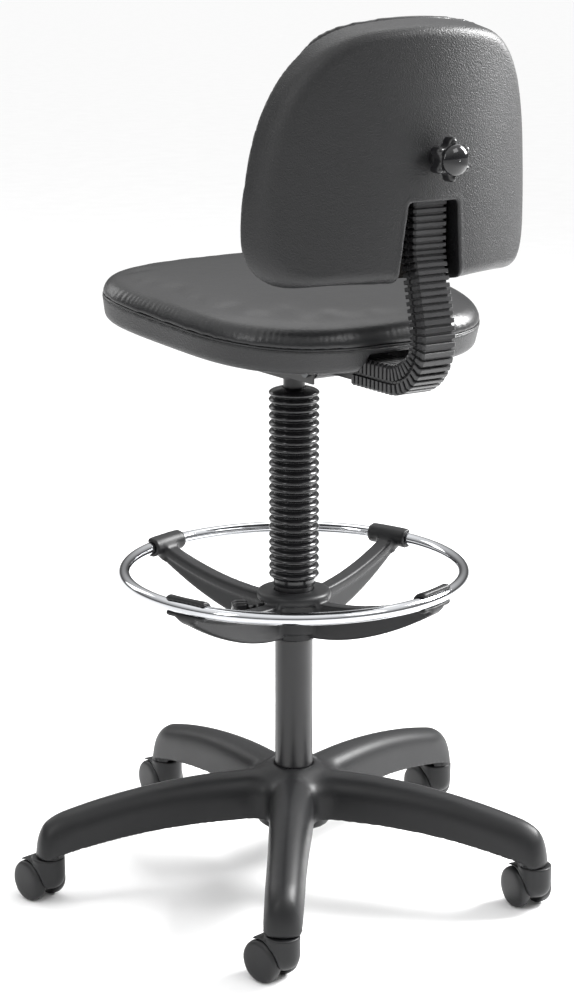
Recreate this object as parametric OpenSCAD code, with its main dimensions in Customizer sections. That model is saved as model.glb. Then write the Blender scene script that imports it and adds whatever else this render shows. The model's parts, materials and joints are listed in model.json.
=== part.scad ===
// Drafting chair with a wrapped backrest, a height-adjusting column, a foot ring and five twin-wheel casters.
// Origin: on the floor, on the column's axis. +Z is up, and the sitter faces -Y.

/* [Base] */
// Radius of the circle that the five caster stems stand on
stem_circle_r = 332; // [320:1:340]
// Height of the underside of the arm ends
arm_end_z = 62; // [62:0.5:64]
// Height of the hub's mouth, where the column tube goes in
hub_top_z = 158; // [156:1:162]
// Width of an arm at its end
arm_end_w = 44; // [42:1:48]
// Width of an arm at the hub
arm_root_w = 53; // [48:1:56]

/* [Casters] */
// Diameter of a wheel
wheel_d = 54; // [52:1:55]
// Width of one wheel
wheel_w = 16.5; // [15:0.5:17]
// How far the axle trails behind the stem
caster_trail = 19; // [16:1:21]
// Direction in which each caster trails, in degrees
caster_headings = [283, 265, 275, 270, 281];

/* [Column] */
// Outer diameter of the column tube
tube_d = 50; // [49:0.5:51]
// Height of the tube's upper end
tube_top_z = 407; // [404:1:408]
// Diameter of the gas spring's cylinder
cylinder_d = 28; // [27:0.5:29]
// Outer diameter of the bellows round the column
bellows_d = 65.6; // [62:0.2:68]
// Number of rings on the column bellows
bellows_rings = 23; // [18:1:26]

/* [Foot ring] */
// Outer diameter of the foot ring
ring_d = 457; // [452:1:462]
// Diameter of the foot ring's tube
ring_tube_d = 16; // [16:0.5:17]
// Height of the foot ring's centre line
ring_z = 423; // [421:1:425]

/* [Seat] */
// Width of the seat at its widest
seat_w = 412; // [400:2:424]
// Angle by which the seat's front is raised
seat_tilt = 5; // [4.5:0.25:5.25]
// Height of the seam between cushion and shell above the column
seam_z = 773.5; // [773:0.5:775]
// Height of the cushion's crown above the seam
seat_cushion_h = 38; // [36:1:44]

/* [Back] */
// Width of the backrest, measured where its rim crosses the middle plane's depth
back_w = 358; // [350:2:364]
// Radius of the rear face's wrap round the sitter
back_wrap_r = 276; // [270:2:290]
// Depth of the back shell, from its rear face to its rim
back_shell_d = 44; // [44:0.5:45]
// Thickness of the back cushion
back_cushion_t = 32; // [30:1:38]

/* [Hidden] */
$fn = 64;
CASTERS = [1, 2, 3, 4, 5];

// Fits
run_gap = 0.05;  // a shaft that turns or slides in its hole
seat_gap = 0.02; // a pin or ring that is held fast in its hole
loose_gap = 0.3; // neighbouring curved faces that move past each other

// Colours
nylon = [0.22, 0.22, 0.23];
shell_grey = [0.25, 0.25, 0.26];
vinyl = [0.16, 0.16, 0.17];
black = [0.08, 0.08, 0.09];
chrome = [0.8, 0.8, 0.82];
steel = [0.62, 0.63, 0.65];
ply = [0.72, 0.58, 0.4];

// Base
arm_angles = [54, 126, 198, 270, 342];
arm_tip_r = stem_circle_r + arm_end_w / 2;
arm_inner_r = stem_circle_r - arm_end_w / 2;
arm_bend_r = arm_tip_r - 32;
arm_top_z = hub_top_z - 6;
arm_root_z = 95;
arm_wall = 4;
hub_r = 44;
hub_bottom_z = 78;
tube_r = tube_d / 2;
tube_taper = 0.0175;

// Casters
wheel_r = wheel_d / 2;
wheel_in_y = 8.6;
hood_r = 21.5;
hood_bottom_z = 19;
hood_top_z = arm_end_z - 1;
fender_in_r = wheel_r + 1.3;
fender_out_r = wheel_r + 4.5;
stem_r = 5.5;
axle_r = 3;

// Column
tube_bottom_z = 60;
tube_bore_r = tube_r - 3;
journal_r = 4;
rod_r = 5;
shoulder_z = 71.1;
piston_z = 318;
cylinder_r = cylinder_d / 2;
cylinder_bottom_z = 296;
socket_z = 690;
cylinder_top_z = 722;
cylinder_bore_r = cylinder_r - 2;
valve_top_z = 729;
bellows_bottom_z = tube_top_z + 3.5;
bellows_top_z = 666;

// Foot ring
ring_r = (ring_d - ring_tube_d) / 2;
ring_tube_r = ring_tube_d / 2;
saddle_r = ring_tube_r + 5;
saddle_angle = 16;
ring_arm_angles = [19.3, 109.3, 199.3, 289.3];
ring_hub_top_z = 398;
ring_hub_bottom_z = 333;
clamp_angle = 334.3;
clamp_z = 368;

// Seat, in a frame whose z = 0 plane is the seam
seat_front = 235;
seat_rear = 184;
seat_mid_y = 40;
seat_taper = 0.11;
shell_floor = -32;
shell_wall = 3;
board_t = 12;
plate_t = 3;
plate_x = 75;
plate_y = [-80, 82];
arm_nut_x = 150;
arm_nut_y = [-35, 55];
shell_screw_at = [[150, -130], [165, 10], [120, 150]];

// Mechanism and back hinge
box_x = 45;
box_wall = 3;
tilt_y = 95;
tilt_z = 706;
tilt_pin_r = 5;
lever_x = -30;
lever_z = 733.5;
cam_y = 66;
cam_z = 712;

// J-bar: a level run, a tight bend up, a forward lean and an upright
bar_w = 40;
bar_t = 8;
bar_z = 712;
bar_start_y = 108;
bend_y = 235;
bend_r = 56;
lean = 13.4;
lean_r = 100;
lean_run = 68;
bar_top_z = 1050;
bellows_from_y = 160;
bellows_to_z = 950;
sleeve_w = 48;
sleeve_t = 30;

// Back
back_rear_y = 295;
back_bottom_z = 832;
back_mid_z = 985;
rim_wrap_r = 355;
rim_y = back_rear_y - back_shell_d;
draft = 0.2 / 170;
// The rim's half outline, as [angle, distance] from its middle
back_half = [
    [-90, 153], [-76, 156.5], [-64, 166], [-56, 176], [-50, 186], [-44, 203], [-38, 209], [-30, 204.5],
    [-18, 188.5], [-6, 178], [6, 172.5], [18, 171], [30, 172.5], [42, 173.5], [52, 170.5], [60, 164.5],
    [68, 158.5], [78, 153.5], [90, 151.5]
];
slot_top_z = 931;
board_gap = 0.3;
back_board_t = 8;
knob_z = 981;
upright_y = bend_y + bend_r - 2 * lean_r * (1 - cos(lean)) - lean_run * sin(lean);

// ---- Shapes shared by several parts ----

// A closed ring of points: superellipse halves with their own depth and power above and below the middle.
function egg(a, up, down, n_up, n_down, steps = 48) =
    [for (i = [0:steps - 1])
        let (
            t = i * 360 / steps,
            n = sin(t) >= 0 ? n_up : n_down,
            x = sign(cos(t)) * pow(abs(cos(t)), 2 / n),
            y = sign(sin(t)) * pow(abs(sin(t)), 2 / n)
        )
        [a * x, (sin(t) >= 0 ? up : down) * y]];

// The seat's plan, drawn in by a distance, and narrower towards the rear.
function seat_plan(inset) =
    [for (p = egg(seat_w / 2 - inset, seat_rear - inset, seat_front - inset, 3, 3.7))
        [p[0] * (1 - seat_taper * p[1] / 200), p[1] + seat_mid_y]];

// The backrest's outline from behind, about its middle, drawn in by a distance.
function back_outline(inset) =
    let (
        half = [for (p = back_half) (p[1] - inset) * [cos(p[0]), sin(p[0])]],
        wide = (back_w - 2 * inset) / 2 / max([for (p = half) p[0]])
    )
    [for (p = concat(half, [for (i = [len(half) - 2:-1:1]) [-half[i][0], half[i][1]]])) [wide * p[0], p[1]]];

function arc(centre, r, from, to, steps) =
    [for (i = [0:steps]) let (a = from + (to - from) * i / steps) centre + r * [cos(a), sin(a)]];

// The J-bar's side profile, moved outwards by d from its centre line, as [y, z] points.
lean_start = [bend_y + bend_r - lean_r, bar_z + bend_r];
lean_end = lean_start + lean_r * [cos(lean), sin(lean)] + lean_run * [-sin(lean), cos(lean)];
upright_mid = lean_end + lean_r * [cos(lean), sin(lean)];
upright_z = upright_mid[1];
function bar_side(d, start_y, end_z) = concat(
    [[start_y, bar_z - d]],
    arc([bend_y, bar_z + bend_r], bend_r + d, -90, 0, 9),
    arc(lean_start, lean_r + d, lean / 2, lean, 1),
    arc(upright_mid, lean_r - d, 180 + lean, 180, 2),
    [[upright_mid[0] - lean_r + d, end_z]]
);
function reversed(list) = [for (i = [len(list) - 1:-1:0]) list[i]];

module bar_band(half_t, width, start_y, end_z) {
    rotate([90, 0, 90])
        linear_extrude(height = width, center = true)
            polygon(concat(bar_side(half_t, start_y, end_z), reversed(bar_side(-half_t, start_y, end_z))));
}

module ring(r_out, r_in, z_low, z_high) {
    translate([0, 0, z_low])
        difference() {
            cylinder(r = r_out, h = z_high - z_low);
            translate([0, 0, -1]) cylinder(r = r_in, h = z_high - z_low + 2);
        }
}

module rod_x(r, x_low, x_high, y, z) {
    translate([x_low, y, z]) rotate([0, 90, 0]) cylinder(r = r, h = x_high - x_low);
}

module rod_y(r, y_low, y_high, x, z) {
    translate([x, y_low, z]) rotate([-90, 0, 0]) cylinder(r = r, h = y_high - y_low);
}

module box(low, high) {
    translate(low) cube(high - low);
}

module in_seat_frame() {
    translate([0, 0, seam_z]) rotate([-seat_tilt, 0, 0]) children();
}

module seat_slab(inset, z_low, z_high) {
    translate([0, 0, z_low]) linear_extrude(height = z_high - z_low) polygon(seat_plan(inset));
}

// The backrest's outline as a solid that widens towards the sitter, so that its side walls have draft.
module back_draft(inset) {
    rear = 1 - draft * 60;
    front = 1 + draft * 160;
    translate([0, rim_y + 60, back_mid_z])
        rotate([90, 0, 0])
            linear_extrude(height = 220, scale = front / rear) polygon(rear * back_outline(inset));
}

// Everything in front of a wrapped surface that crosses the middle plane at y.
module in_front_of(r, y) {
    translate([0, y - r, back_bottom_z - 30]) cylinder(r = r, h = 420, $fn = 180);
}

// A curved slab of the backrest, parallel to its rim, between two distances in front of the rim.
module back_slab(inset, near, far) {
    intersection() {
        back_draft(inset);
        difference() {
            in_front_of(rim_wrap_r, rim_y - near);
            in_front_of(rim_wrap_r, rim_y - far);
        }
    }
}

// ---- Base ----

function arm_top(r) = arm_top_z - 35 * pow(max(0, r - 90) / (arm_bend_r - 90), 2);
function arm_bottom(r) = arm_root_z - 24 * pow(max(0, r - 110) / (arm_inner_r - 110), 2);

module arm_side() {
    cap_z = arm_end_z + 4;
    polygon(concat(
        [for (r = [22:25:arm_bend_r]) [r, arm_top(r)]],
        [for (a = [80:-10:0]) [arm_bend_r + 32 * cos(a), cap_z + (arm_top(arm_bend_r) - cap_z) * sin(a)]],
        [[arm_tip_r, arm_end_z], [arm_inner_r, arm_end_z]],
        [for (r = [arm_inner_r:-40:110]) [r, arm_bottom(r)]],
        [[22, arm_root_z]]
    ));
}

module arm_plan() {
    polygon([
        [0, -arm_root_w / 2], [60, -arm_root_w / 2], [220, -arm_end_w / 2 - 0.8], [stem_circle_r, -arm_end_w / 2],
        [stem_circle_r, arm_end_w / 2], [220, arm_end_w / 2 + 0.8], [60, arm_root_w / 2], [0, arm_root_w / 2]
    ]);
    translate([stem_circle_r, 0]) circle(r = arm_end_w / 2);
}

// Hollow under an arm, on both sides of its middle rib.
module arm_pocket() {
    far = arm_inner_r - 6;
    intersection() {
        rotate([90, 0, 0])
            linear_extrude(height = 80, center = true)
                polygon(concat(
                    [[54, 40]],
                    [for (r = [54:35:far]) [r, arm_top(r) - arm_wall]],
                    [[far, arm_top(far) - arm_wall], [far, 40]]
                ));
        linear_extrude(height = 200)
            for (side = [-1, 1])
                polygon([
                    [40, side * 1.5], [60, side * (arm_root_w / 2 - arm_wall)],
                    [far, side * (arm_end_w / 2 - arm_wall)], [far, side * 1.5]
                ]);
    }
}

module star_base() {
    color(nylon)
        difference() {
            union() {
                rotate_extrude()
                    polygon([
                        [0, hub_bottom_z], [47.5, hub_bottom_z], [47.5, 97], [hub_r, 101],
                        [hub_r, hub_top_z - 12], [30, hub_top_z], [0, hub_top_z]
                    ]);
                for (a = arm_angles)
                    rotate([0, 0, a])
                        intersection() {
                            rotate([90, 0, 0]) linear_extrude(height = 80, center = true) arm_side();
                            linear_extrude(height = 200) arm_plan();
                        }
            }
            translate([0, 0, hub_bottom_z - 1])
                cylinder(
                    r1 = tube_r - tube_taper * (hub_top_z - hub_bottom_z + 1) + seat_gap,
                    r2 = tube_r + tube_taper + seat_gap,
                    h = hub_top_z - hub_bottom_z + 2
                );
            for (a = arm_angles)
                rotate([0, 0, a]) {
                    arm_pocket();
                    translate([stem_circle_r, 0, arm_end_z - 1]) cylinder(r = stem_r + run_gap, h = 32);
                }
        }
}

module gas_tube() {
    color(black)
        difference() {
            union() {
                translate([0, 0, hub_top_z]) cylinder(r = tube_r, h = tube_top_z - hub_top_z);
                translate([0, 0, tube_bottom_z])
                    cylinder(
                        r1 = tube_r - tube_taper * (hub_top_z - tube_bottom_z),
                        r2 = tube_r,
                        h = hub_top_z - tube_bottom_z
                    );
            }
            translate([0, 0, tube_bottom_z + 4]) cylinder(r = tube_bore_r, h = tube_top_z);
            translate([0, 0, tube_bottom_z - 1]) cylinder(r = journal_r + run_gap, h = 6);
        }
}

module guide_bush() {
    color("whitesmoke") {
        difference() {
            union() {
                translate([0, 0, 300]) cylinder(r = tube_bore_r - seat_gap, h = tube_top_z - 300);
                translate([0, 0, tube_top_z]) cylinder(r = tube_r - 0.5, h = 3);
            }
            translate([0, 0, 299]) cylinder(r = cylinder_r + run_gap, h = 120);
        }
    }
}

module thrust_bearing() {
    race_in = journal_r + 0.2;
    color(steel) {
        ring(14, race_in, tube_bottom_z + 4, tube_bottom_z + 6);
        ring(14, race_in, tube_bottom_z + 9, tube_bottom_z + 11);
        for (a = [0:36:324])
            rotate([0, 0, a]) translate([9.5, 0, tube_bottom_z + 7.5]) sphere(r = 1.48, $fn = 24);
    }
}

module column_bellows() {
    out_r = bellows_d / 2;
    in_r = out_r - 5;
    cap_h = 11;
    pitch = (bellows_top_z - bellows_bottom_z - cap_h - 3) / bellows_rings;
    color(black)
        rotate_extrude()
            polygon(concat(
                [[15, bellows_bottom_z], [26, bellows_bottom_z]],
                [for (i = [0:bellows_rings - 1], s = [0, 1, 2])
                    [s == 1 ? out_r : in_r, bellows_bottom_z + 3 + (i + [0.06, 0.5, 0.94][s]) * pitch]],
                [[out_r - 4, bellows_top_z - cap_h], [out_r - 9, bellows_top_z - 3], [18, bellows_top_z]],
                [[15, bellows_top_z]]
            ));
}

// ---- Gas spring ----

module piston_rod() {
    color(steel)
        rotate_extrude()
            polygon([
                [0, 54], [journal_r, 54], [journal_r, 57], [3.2, 57], [3.2, 58.6], [journal_r, 58.6],
                [journal_r, shoulder_z], [9, shoulder_z], [9, shoulder_z + 3], [rod_r, shoulder_z + 3],
                [rod_r, piston_z], [cylinder_bore_r - run_gap, piston_z],
                [cylinder_bore_r - run_gap, piston_z + 12], [rod_r, piston_z + 12],
                [rod_r, piston_z + 16], [0, piston_z + 16]
            ]);
}

module rod_clip() {
    color(steel)
        difference() {
            ring(8, 3.3, 57.2, 58.4);
            box([0, -1.5, 50], [12, 1.5, 60]);
        }
}

module gas_cylinder() {
    color(black)
        difference() {
            union() {
                translate([0, 0, cylinder_bottom_z]) cylinder(r = cylinder_r, h = socket_z - cylinder_bottom_z);
                translate([0, 0, socket_z])
                    cylinder(r1 = cylinder_r, r2 = cylinder_r - 1, h = cylinder_top_z - socket_z);
            }
            translate([0, 0, cylinder_bottom_z + 12]) cylinder(r = cylinder_bore_r, h = 332);
            translate([0, 0, cylinder_bottom_z - 1]) cylinder(r = rod_r + run_gap, h = 14);
            translate([0, 0, socket_z + 2]) cylinder(r = 2.5 + run_gap, h = 40);
        }
}

module valve_button() {
    color("firebrick") {
        translate([0, 0, 697]) cylinder(r = 2.5, h = valve_top_z - 3 - 697);
        translate([0, 0, valve_top_z - 3]) cylinder(r = 4, h = 3);
    }
}

// ---- Mechanism ----

module mechanism() {
    color(black)
        difference() {
            union() {
                in_seat_frame()
                    box([-90, -95, shell_floor - plate_t], [90, 100, shell_floor]);
                intersection() {
                    union() {
                        for (x = [-box_x, box_x - box_wall]) box([x, -48, 691], [x + box_wall, 108, 760]);
                        box([-box_x, -48, 691], [box_x, -45, 760]);
                        box([-box_x, -48, 688], [box_x, 50, 691]);
                        translate([0, 0, 688]) cylinder(r = 20, h = 34);
                        for (y = [-14, 8]) box([lever_x - 6, y, lever_z - 6], [lever_x + 6, y + 6, 760]);
                    }
                    in_seat_frame() box([-100, -100, -120], [100, 120, shell_floor - 1]);
                }
            }
            // Taper for the gas cylinder
            translate([0, 0, 687]) cylinder(r = cylinder_r + seat_gap, h = socket_z - 687);
            translate([0, 0, socket_z])
                cylinder(r1 = cylinder_r + seat_gap, r2 = cylinder_r - 1 + seat_gap, h = cylinder_top_z - socket_z);
            translate([0, 0, cylinder_top_z - 0.01]) cylinder(r = cylinder_r - 1 + seat_gap, h = 10);
            // Room for the height lever's knee, the lever's pivot, and the way out for both levers
            in_seat_frame() box([-91, -9, shell_floor - plate_t - 1], [-box_x + 9, 9, shell_floor + 1]);
            rod_y(2.5 + run_gap, -20, 20, lever_x, lever_z);
            box([-box_x - 1, -8, lever_z - 9], [-box_x + box_wall + 1, 8, lever_z + 9]);
            rod_x(4 + run_gap, -box_x - 1, box_x + 1, cam_y, cam_z);
            rod_x(tilt_pin_r + seat_gap, -box_x - 1, box_x + 1, tilt_y, tilt_z);
            in_seat_frame()
                for (x = [-plate_x, plate_x], y = plate_y)
                    translate([x, y, shell_floor - 10]) cylinder(r = 3.3, h = 20);
        }
}

module mechanism_bolts() {
    color(steel)
        in_seat_frame()
            for (x = [-plate_x, plate_x], y = plate_y)
                translate([x, y, 0]) {
                    translate([0, 0, shell_floor - plate_t - 4]) cylinder(r = 5.8, h = 4, $fn = 6);
                    translate([0, 0, shell_floor - plate_t]) cylinder(r = 3, h = plate_t - shell_floor + 11);
                }
}

module at_tee_nuts() {
    for (x = [-plate_x, plate_x], y = plate_y) translate([x, y, 0]) children();
    for (x = [-arm_nut_x, arm_nut_x], y = arm_nut_y) translate([x, y, 0]) children();
}

module tee_nuts() {
    color(steel)
        in_seat_frame()
            at_tee_nuts()
                difference() {
                    union() {
                        translate([0, 0, 1]) cylinder(r = 4.2, h = board_t - 1);
                        translate([0, 0, board_t]) cylinder(r = 9, h = 1.3);
                    }
                    cylinder(r = 3.05, h = 20);
                }
}

module tilt_pin() {
    color(steel) {
        rod_x(tilt_pin_r, -box_x - 1, box_x + 1, tilt_y, tilt_z);
        rod_x(8, -box_x - 3.5, -box_x - 0.3, tilt_y, tilt_z);
        rod_x(8, box_x + 0.3, box_x + 3.5, tilt_y, tilt_z);
    }
}

module height_lever() {
    knee = [-58, 0, lever_z];
    grip = [-150, 0, 713];
    run = norm(grip - knee);
    drop = asin((knee[2] - grip[2]) / run);
    color(black) {
        rod_x(4, knee[0], 1, 0, lever_z);
        translate(knee) sphere(r = 4.2);
        translate(knee) rotate([0, -90 - drop, 0]) cylinder(r = 4, h = run + 4);
        rod_y(2.5, -13.5, 13.5, lever_x, lever_z);
        translate([grip[0] - 24, 0, grip[2] - 3])
            rotate([0, -drop / 2, 0]) {
                box([-24, -14, -5], [22, 14, 5]);
                translate([-24, 0, -5]) cylinder(r = 14, h = 10);
            }
    }
}

module tilt_lever() {
    color(black) {
        rod_x(4, -150, box_x + 3, cam_y, cam_z);
        rod_x(6, -20, 20, cam_y, cam_z - 0.6);
        translate([-174, cam_y, cam_z]) {
            box([-24, -14, -5], [26, 14, 5]);
            translate([-24, 0, -5]) cylinder(r = 14, h = 10);
        }
    }
}

// ---- Seat ----

module seat_board() {
    color(ply)
        in_seat_frame()
            difference() {
                seat_slab(7, 0, board_t);
                at_tee_nuts() translate([0, 0, -1]) cylinder(r = 4.2 + seat_gap, h = board_t + 2);
                at_shell_screws() translate([0, 0, -1]) cylinder(r = 2.2 + seat_gap, h = 9.5);
            }
}

module at_shell_screws() {
    for (p = shell_screw_at, side = [-1, 1]) translate([side * p[0], p[1], 0]) children();
}

module seat_shell() {
    color(shell_grey)
        in_seat_frame()
            difference() {
                union() {
                    difference() {
                        union() {
                            seat_slab(0, -22, -0.8);
                            seat_slab(5, shell_floor, -22);
                        }
                        seat_slab(shell_wall, -22 + shell_wall, 5);
                        seat_slab(5 + shell_wall, shell_floor + shell_wall, 0);
                    }
                    for (x = [-plate_x, plate_x], y = plate_y) translate([x, y, 0]) ring(9, 3.2, shell_floor, 0);
                    at_shell_screws() ring(6.5, 2, shell_floor, 0);
                }
                for (x = [-plate_x, plate_x], y = plate_y)
                    translate([x, y, shell_floor - 1]) cylinder(r = 3.3, h = 50);
                for (x = [-arm_nut_x, arm_nut_x], y = arm_nut_y)
                    translate([x, y, shell_floor - 1]) cylinder(r = 9, h = 20);
                at_shell_screws() {
                    translate([0, 0, shell_floor - 1]) cylinder(r = 2.2 + seat_gap, h = 40);
                    translate([0, 0, shell_floor - 1]) cylinder(r = 4.8, h = 4);
                }
                // Way through for the J-bar
                box([-38, 104, shell_floor - 1], [38, 260, -9]);
            }
}

module shell_screws() {
    color(steel)
        in_seat_frame()
            at_shell_screws() {
                translate([0, 0, shell_floor + 0.6]) cylinder(r = 4.5, h = 2.4);
                translate([0, 0, shell_floor + 3]) cylinder(r = 2.2, h = 5 - shell_floor);
            }
}

module seat_cushion() {
    color(vinyl)
        in_seat_frame()
            difference() {
                union() {
                    seat_slab(-1, 0.8, 15);
                    seat_slab(13, 15, 24);
                    seat_slab(34, 24, seat_cushion_h - 6);
                    seat_slab(66, seat_cushion_h - 6, seat_cushion_h);
                }
                seat_slab(6.7, -1, board_t + 0.1);
                at_tee_nuts() cylinder(r = 9.5, h = board_t + 1.6);
            }
}

// ---- Back support ----

module back_bracket() {
    color(black)
        difference() {
            union() {
                rod_x(11, -36, 36, tilt_y, tilt_z);
                box([-19, tilt_y, bar_z - bar_t / 2 - 6], [19, 156, bar_z - bar_t / 2]);
            }
            rod_x(tilt_pin_r + run_gap, -40, 40, tilt_y, tilt_z);
            at_bracket_bolts() translate([0, 0, 690]) cylinder(r = 4 + seat_gap, h = 40);
        }
}

module at_bracket_bolts() {
    for (y = [120, 144]) translate([0, y, 0]) children();
}

module bracket_bolts() {
    color(steel)
        at_bracket_bolts() {
            translate([0, 0, bar_z - 14]) cylinder(r = 4, h = 14 + bar_t / 2);
            translate([0, 0, bar_z + bar_t / 2]) cylinder(r = 7.5, h = 4, $fn = 6);
        }
}

module j_bar() {
    color(steel)
        difference() {
            bar_band(bar_t / 2, bar_w, bar_start_y, bar_top_z);
            at_bracket_bolts() translate([0, 0, 690]) cylinder(r = 4 + seat_gap, h = 40);
        }
}

module jbar_bellows() {
    color(black)
        difference() {
            bar_band(sleeve_t / 2, sleeve_w, bellows_from_y, bellows_to_z);
            bar_band(sleeve_t / 2 - 4, bar_w + 1.6, bellows_from_y - 1, bellows_to_z + 1);
        }
}

// ---- Back ----

module slide_bracket() {
    color(black)
        difference() {
            box([-29, rim_y, knob_z - 8], [29, upright_y + bar_t / 2 + 11, knob_z + 30]);
            box(
                [-bar_w / 2 - 0.2, upright_y - bar_t / 2 - 0.2, knob_z - 20],
                [bar_w / 2 + 0.2, upright_y + bar_t / 2 + 0.2, knob_z + 40]
            );
            rod_y(4 + run_gap, upright_y, 300, 0, knob_z);
            at_back_screws() rod_y(2 + seat_gap, rim_y - 1, rim_y + 9, 0, 0);
        }
}

module at_back_screws() {
    for (x = [-24.5, 24.5], z = [knob_z, knob_z + 22]) translate([x, 0, z]) children();
}

module back_board() {
    color(ply)
        difference() {
            union() {
                back_slab(6, 0, back_board_t);
                box([-30, rim_y - 5, knob_z - 10], [30, rim_y, knob_z + 32]);
            }
            at_back_screws() {
                rod_y(2 + seat_gap, rim_y - 20, rim_y + 1, 0, 0);
                rod_y(4.5, rim_y - 20, rim_y - 5, 0, 0);
            }
        }
}

module back_screws() {
    color(steel)
        at_back_screws() {
            rod_y(2, rim_y - 5, rim_y + 8.5, 0, 0);
            rod_y(4, rim_y - 7.5, rim_y - 5, 0, 0);
        }
}

module back_shell() {
    color(shell_grey)
        difference() {
            intersection() {
                back_draft(0);
                difference() {
                    in_front_of(back_wrap_r, back_rear_y);
                    in_front_of(rim_wrap_r, rim_y + 0.8);
                }
            }
            intersection() {
                back_draft(shell_wall);
                in_front_of(back_wrap_r, back_rear_y - shell_wall);
            }
            rod_y(5, 280, 310, 0, knob_z);
            translate([0, 310, 0])
                rotate([90, 0, 0])
                    linear_extrude(height = 90)
                        polygon([[-40, 800], [40, 800], [32, slot_top_z], [-32, slot_top_z]]);
        }
}

module back_cushion() {
    color(vinyl)
        difference() {
            union() {
                back_slab(3, 0.8, 11);
                back_slab(13, 11, 18);
                back_slab(32, 18, back_cushion_t - 6);
                back_slab(62, back_cushion_t - 6, back_cushion_t);
            }
            back_slab(5.5, -5, back_board_t + board_gap);
            box([-31, 235, knob_z - 11], [31, 260, knob_z + 33]);
        }
}

module back_knob() {
    color(black)
        difference() {
            union() {
                rod_y(4, upright_y + bar_t / 2 + 0.3, back_rear_y + 4, 0, knob_z);
                rod_y(12, back_rear_y + 1.2, back_rear_y + 14, 0, knob_z);
                rod_y(20, back_rear_y + 12, back_rear_y + 33, 0, knob_z);
                for (a = [0:60:300])
                    rod_y(7.5, back_rear_y + 12, back_rear_y + 33, 18.5 * cos(a), knob_z + 18.5 * sin(a));
            }
            rod_y(15, back_rear_y + 31, back_rear_y + 40, 0, knob_z);
        }
}

module knob_cap() {
    color(black) {
        rod_y(14.9, back_rear_y + 31, back_rear_y + 33, 0, knob_z);
        intersection() {
            translate([0, back_rear_y + 16, knob_z]) sphere(r = 24);
            rod_y(17.5, back_rear_y + 33, back_rear_y + 45, 0, knob_z);
        }
    }
}

// ---- Foot ring ----

module footring() {
    color(chrome)
        translate([0, 0, ring_z])
            difference() {
                rotate_extrude($fn = 128)
                    translate([ring_r, 0])
                        difference() {
                            circle(r = ring_tube_r);
                            circle(r = ring_tube_r - 2);
                        }
                at_saddles() translate([ring_r, 0, -20]) cylinder(r = 2 + seat_gap, h = 20);
            }
}

module at_saddles() {
    for (a = ring_arm_angles) rotate([0, 0, a]) children();
}

function ring_arm_top(r) = 386 + 40 * pow((r - 36) / (ring_r - 36), 2);
function ring_arm_bottom(r) = 337 + 72 * pow(max(0, r - 30) / (ring_r - 30), 1.9);

module ring_arm() {
    far = ring_r - ring_tube_r - 2.5;
    rotate([90, 0, 0])
        linear_extrude(height = 20, center = true)
            polygon(concat(
                [for (i = [0:8]) let (r = 34 + (far - 34) * i / 8) [r, ring_arm_top(r)]],
                [for (i = [8:-1:0]) let (r = 28 + (far - 28) * i / 8) [r, ring_arm_bottom(r)]]
            ));
}

// A C-shaped clip that holds the ring from its inner side.
module saddle() {
    translate([0, 0, ring_z])
        rotate([0, 0, -saddle_angle / 2])
            rotate_extrude(angle = saddle_angle, $fn = 128)
                translate([ring_r, 0])
                    difference() {
                        circle(r = saddle_r);
                        circle(r = ring_tube_r + seat_gap);
                        translate([3, -20]) square([20, 40]);
                    }
}

module footring_hub() {
    color(nylon)
        difference() {
            union() {
                translate([0, 0, 384]) cylinder(r = 48.5, h = ring_hub_top_z - 384);
                translate([0, 0, 345]) cylinder(r = 37, h = 40);
                translate([0, 0, ring_hub_bottom_z]) cylinder(r = 30, h = 20);
                at_saddles() {
                    ring_arm();
                    saddle();
                }
                rotate([0, 0, clamp_angle]) rod_x(11, 20, 50, 0, clamp_z);
            }
            translate([0, 0, ring_hub_bottom_z - 1]) cylinder(r = tube_r + loose_gap, h = 80);
            rotate([0, 0, clamp_angle]) rod_x(4 + run_gap, 20, 60, 0, clamp_z);
            at_saddles() {
                translate([ring_r, 0, ring_z - 30]) cylinder(r = 2 + seat_gap, h = 30);
                translate([ring_r, 0, ring_z - 30]) cylinder(r = 4, h = 19);
            }
        }
}

module saddle_screws() {
    color(steel)
        at_saddles() {
            translate([ring_r, 0, ring_z - 13]) cylinder(r = 3.5, h = 2);
            translate([ring_r, 0, ring_z - 11]) cylinder(r = 2, h = 6);
        }
}

module ring_knob() {
    color(black)
        rotate([0, 0, clamp_angle]) {
            rod_x(4, tube_r + 0.4, 62, 0, clamp_z);
            rod_x(9, 51, 62, 0, clamp_z);
            rod_x(15, 60, 82, 0, clamp_z);
            for (a = [0:60:300]) rod_x(4, 60, 82, 13 * cos(a), clamp_z + 13 * sin(a));
        }
}

// ---- Casters: each is drawn on its own stem, with its axle trailing along +X ----

module at_caster(k) {
    rotate([0, 0, arm_angles[k - 1]])
        translate([stem_circle_r, 0, 0])
            rotate([0, 0, caster_headings[k - 1] - arm_angles[k - 1]])
                children();
}

module caster_hood() {
    web_y = wheel_in_y - 0.4;
    color(nylon)
        difference() {
            union() {
                translate([0, 0, hood_bottom_z]) cylinder(r = hood_r, h = hood_top_z - hood_bottom_z);
                rod_y(22, -web_y, web_y, caster_trail, wheel_r);
                intersection() {
                    rod_y(fender_out_r, -hood_r, hood_r, caster_trail, wheel_r);
                    box([0, -40, wheel_r + 6], [80, 40, hood_top_z]);
                }
            }
            for (side = [-1, 1])
                translate([0, side * (web_y + 20), 0]) rod_y(fender_in_r, -20, 20, caster_trail, wheel_r);
            rod_y(axle_r + seat_gap, -30, 30, caster_trail, wheel_r);
            translate([0, 0, 42]) cylinder(r = stem_r + seat_gap, h = 30);
        }
}

module caster_stem() {
    color(steel) translate([0, 0, 42]) cylinder(r = stem_r, h = 48);
}

module caster_axle() {
    color(steel) rod_y(axle_r, -21, 21, caster_trail, wheel_r);
}

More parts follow.
